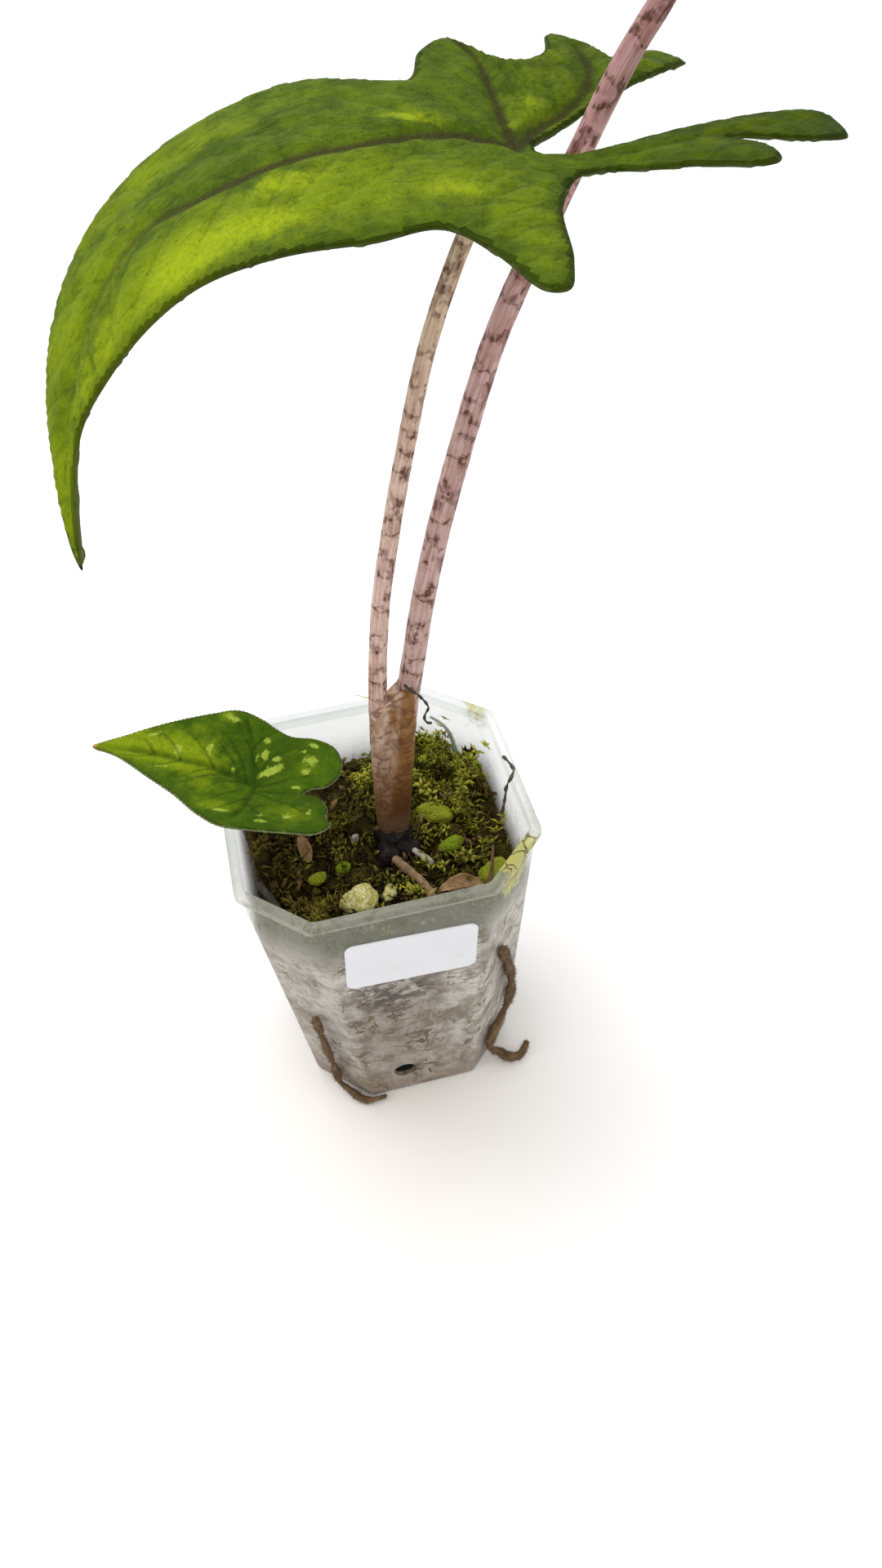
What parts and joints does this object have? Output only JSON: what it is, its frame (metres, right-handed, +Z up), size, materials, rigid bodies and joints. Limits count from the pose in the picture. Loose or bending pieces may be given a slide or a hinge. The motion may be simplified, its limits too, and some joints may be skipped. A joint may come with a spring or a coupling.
{
  "type": "potted variegated jacklyn alocasia",
  "caption": "Young variegated jacklyn alocasia with lobed fuzzy leaves on mottled petioles, rooted in moss in a small clear square nursery pot with a blank label.",
  "frame": {"origin": "middle of the pot's square foot, on the surface it stands on", "axes": "+Z up; -Y towards the viewer, out of the side with the label; +X to the right, where the tall petiole leans"},
  "size_m": [0.134, 0.1043, 0.1925],
  "materials": {
    "pot_plastic": "satin",
    "label_paper": "satin",
    "moss": "matte",
    "moss_green": "matte",
    "rhizome": "matte",
    "petiole": "satin",
    "leaf": "satin",
    "leaf_young": "satin",
    "mineral_grain": "matte",
    "dead_leaf": "matte",
    "pale_stub": "matte",
    "bark": "matte",
    "root": "matte",
    "tendril": "matte",
    "filament": "matte"
  },
  "bodies": {
    "root": {"pot": "pot_plastic", "label": "label_paper", "moss_bed": "moss", "rhizome": "rhizome", "petiole_left": "petiole", "petiole_right": "petiole", "petiole_small": "petiole", "leaf_large": "leaf", "leaf_top": "leaf", "leaf_small": "leaf_young", "moss_clump_back": "moss_green", "moss_clump_side": "moss_green", "moss_clump_front": "moss_green", "dead_leaf_front": "dead_leaf", "dead_leaf_left": "dead_leaf", "old_stalk": "dead_leaf", "white_stub": "pale_stub", "twig": "bark", "bark_stick": "bark", "root_outside_left": "root", "root_outside_right": "root", "root_inner_wall": "root", "tendril": "tendril", "filament": "filament", "grain_front": "mineral_grain", "grain_right_back": "mineral_grain", "grain_right": "mineral_grain", "grain_left": "mineral_grain", "grain_far_left": "mineral_grain", "grain_corner": "mineral_grain", "grain_small": "mineral_grain", "grain_pale": "mineral_grain"}
  },
  "joints": []
}
